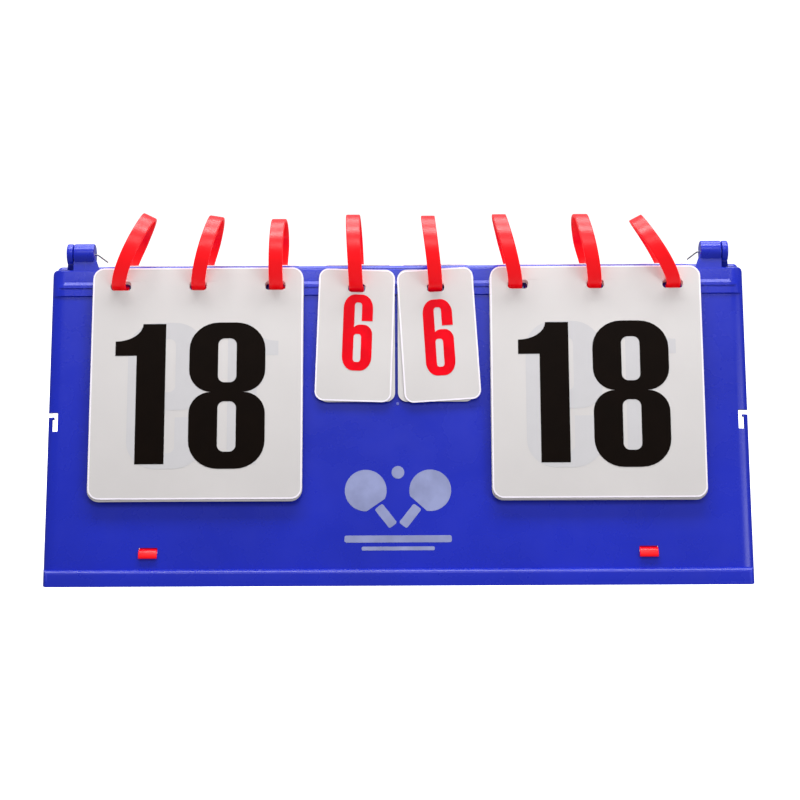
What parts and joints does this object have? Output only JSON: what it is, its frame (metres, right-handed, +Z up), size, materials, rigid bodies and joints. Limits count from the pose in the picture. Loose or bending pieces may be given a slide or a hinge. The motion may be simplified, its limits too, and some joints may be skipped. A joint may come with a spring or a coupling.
{
  "type": "scoring board",
  "caption": "Folding A-frame table-tennis scoreboard: numbered cards hang on red split rings and turn over the hinged top between two blue plastic panels.",
  "frame": {"origin": "on the floor, midway between the feet, below the hinge axis", "axes": "+X along the board's length, -Y towards the front viewer, +Z up"},
  "size_m": [0.38, 0.1602, 0.1901],
  "materials": {
    "blue_plastic": "moulded, satin gloss",
    "red_plastic": "smooth flexible band",
    "card_sheet": "thin white sheet",
    "steel_wire": "drawn wire"
  },
  "bodies": {
    "front_frame": {"front_panel": "blue_plastic", "hinge_pin_left": "steel_wire", "hinge_pin_right": "steel_wire", "spread_strap_left": "red_plastic", "spread_strap_right": "red_plastic", "front_pack_large_left": "card_sheet", "front_pack_small_left": "card_sheet", "front_pack_small_right": "card_sheet", "front_pack_large_right": "card_sheet"},
    "rear_frame": {"rear_panel": "blue_plastic", "rear_pack_large_left": "card_sheet", "rear_pack_small_left": "card_sheet", "rear_pack_small_right": "card_sheet", "rear_pack_large_right": "card_sheet", "rear_card_large_left": "card_sheet", "rear_card_small_left": "card_sheet", "rear_card_small_right": "card_sheet", "rear_card_large_right": "card_sheet"},
    "large_left_rings": {"ring_1": "red_plastic", "ring_2": "red_plastic", "ring_3": "red_plastic"},
    "large_left_card": {"front_card_large_left": "card_sheet"},
    "small_left_rings": {"ring_4": "red_plastic"},
    "small_left_card": {"front_card_small_left": "card_sheet"},
    "small_right_rings": {"ring_5": "red_plastic"},
    "small_right_card": {"front_card_small_right": "card_sheet"},
    "large_right_rings": {"ring_6": "red_plastic", "ring_7": "red_plastic", "ring_8": "red_plastic"},
    "large_right_card": {"front_card_large_right": "card_sheet"}
  },
  "joints": [
    {"name": "frame_fold", "type": "hinge", "parent": "front_frame", "child": "rear_frame", "pos_m": [0, 0, 0.1669], "axis": [-1, 0, 0], "range_deg": [0, 45], "deforming": ["spread_strap_left", "spread_strap_right"]},
    {"name": "large_left_flip", "type": "hinge", "parent": "front_frame", "child": "large_left_rings", "pos_m": [-0.109, 0, 0.1669], "axis": [-1, 0, 0], "range_deg": [0, 267.75], "deforming": ["ring_1", "ring_2", "ring_3"]},
    {"name": "large_left_card_pivot", "type": "hinge", "parent": "large_left_rings", "child": "large_left_card", "pos_m": [-0.109, -0.01563, 0.15157], "axis": [-1, 0, 0], "range_deg": [0, 46.45]},
    {"name": "small_left_flip", "type": "hinge", "parent": "front_frame", "child": "small_left_rings", "pos_m": [-0.0222, 0, 0.1669], "axis": [-1, 0, 0], "range_deg": [0, 275.24], "deforming": ["ring_4"]},
    {"name": "small_left_card_pivot", "type": "hinge", "parent": "small_left_rings", "child": "small_left_card", "pos_m": [-0.0222, -0.01359, 0.14973], "axis": [-1, 0, 0], "range_deg": [0, 38.96]},
    {"name": "small_right_flip", "type": "hinge", "parent": "front_frame", "child": "small_right_rings", "pos_m": [0.021, 0, 0.1669], "axis": [-1, 0, 0], "range_deg": [0, 275.24], "deforming": ["ring_5"]},
    {"name": "small_right_card_pivot", "type": "hinge", "parent": "small_right_rings", "child": "small_right_card", "pos_m": [0.021, -0.01359, 0.14973], "axis": [-1, 0, 0], "range_deg": [0, 38.96]},
    {"name": "large_right_flip", "type": "hinge", "parent": "front_frame", "child": "large_right_rings", "pos_m": [0.1083, 0, 0.1669], "axis": [-1, 0, 0], "range_deg": [0, 267.75], "deforming": ["ring_6", "ring_7", "ring_8"]},
    {"name": "large_right_card_pivot", "type": "hinge", "parent": "large_right_rings", "child": "large_right_card", "pos_m": [0.1083, -0.01563, 0.15157], "axis": [-1, 0, 0], "range_deg": [0, 46.45]}
  ],
  "couplings": [
    {"joint": "large_left_card_pivot", "follows": "large_left_flip", "ratio": 0.17272},
    {"joint": "small_left_card_pivot", "follows": "small_left_flip", "ratio": 0.14084},
    {"joint": "small_right_card_pivot", "follows": "small_right_flip", "ratio": 0.14084},
    {"joint": "large_right_card_pivot", "follows": "large_right_flip", "ratio": 0.17272}
  ]
}
